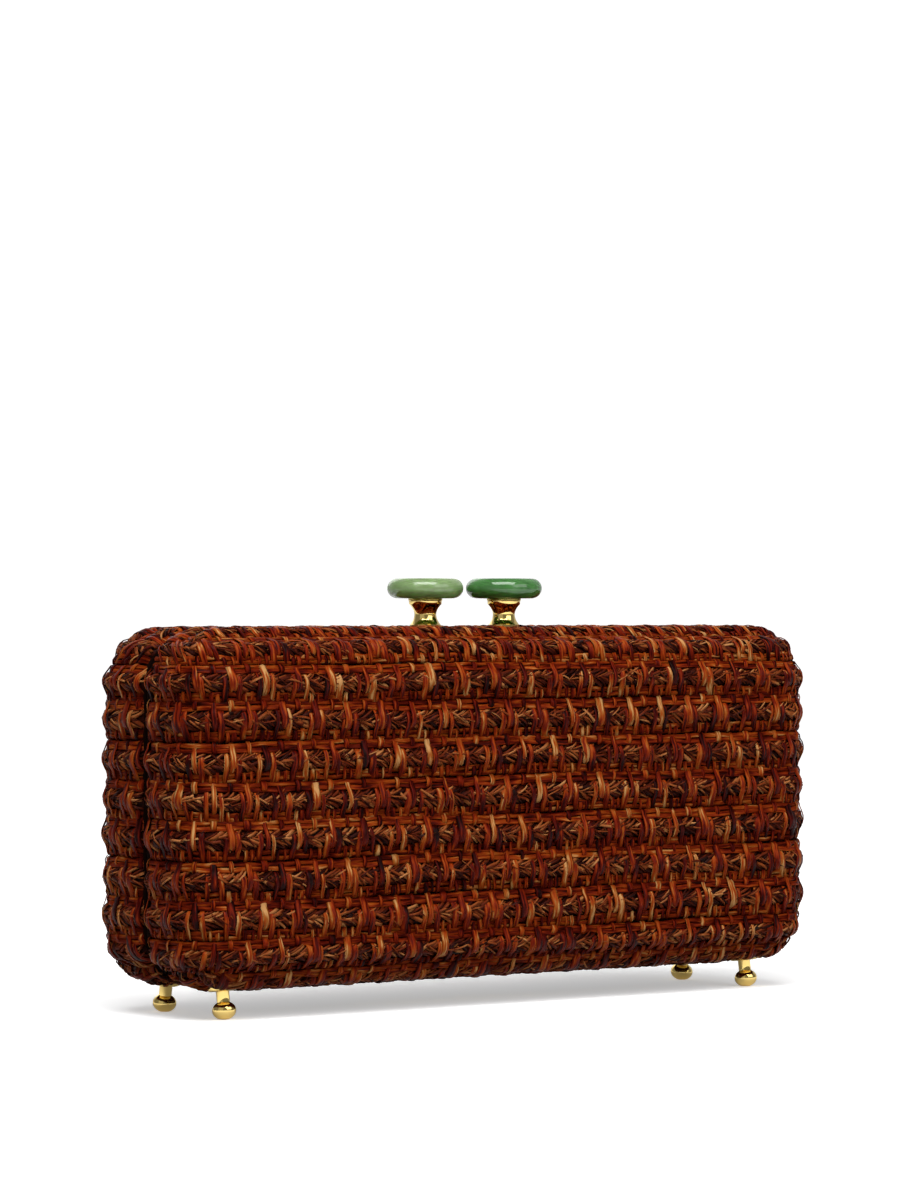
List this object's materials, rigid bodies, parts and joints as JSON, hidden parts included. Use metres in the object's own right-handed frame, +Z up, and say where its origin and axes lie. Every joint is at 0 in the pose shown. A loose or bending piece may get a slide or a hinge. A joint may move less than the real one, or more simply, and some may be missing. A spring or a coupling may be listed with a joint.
{
  "type": "woven box clutch bag",
  "caption": "Hard box clutch in two hinged halves covered with braided raffia, opened by twin stone knobs on turned posts, on ball feet.",
  "frame": {"origin": "on the floor under the middle of the bag, where the ball feet stand", "axes": "+X along the bag's width, +Y from the front half to the back half, +Z up"},
  "size_m": [0.202, 0.0546, 0.1102],
  "materials": {
    "raffia": "glossy woven raffia, dark red-brown",
    "moulded_board": "matt",
    "lining_suede": "brushed",
    "gilt_brass": "polished",
    "green_aventurine": "polished",
    "pale_green_stone": "polished",
    "magnet_nickel": "satin nickel",
    "plate_steel": "brushed"
  },
  "bodies": {
    "back_half": {"back_woven_cover": "raffia", "back_moulded_shell": "moulded_board", "back_lining": "lining_suede", "back_rim_frame": "gilt_brass", "back_left_foot": "gilt_brass", "back_right_foot": "gilt_brass", "back_magnets": "magnet_nickel", "hinge_back_leaf": "gilt_brass", "hinge_pin": "gilt_brass", "left_knob_post": "gilt_brass", "left_knob_plate": "plate_steel", "left_stone_disc": "pale_green_stone"},
    "front_half": {"front_woven_cover": "raffia", "front_moulded_shell": "moulded_board", "front_lining": "lining_suede", "front_rim_frame": "gilt_brass", "front_left_foot": "gilt_brass", "front_right_foot": "gilt_brass", "front_magnets": "magnet_nickel", "hinge_front_leaf": "gilt_brass", "right_knob_post": "gilt_brass", "right_knob_plate": "plate_steel", "right_stone_disc": "green_aventurine"}
  },
  "joints": [
    {"name": "front_half_hinge", "type": "hinge", "parent": "back_half", "child": "front_half", "pos_m": [0, 0, 0.008], "axis": [1, 0, 0], "range_deg": [0, 75]}
  ]
}
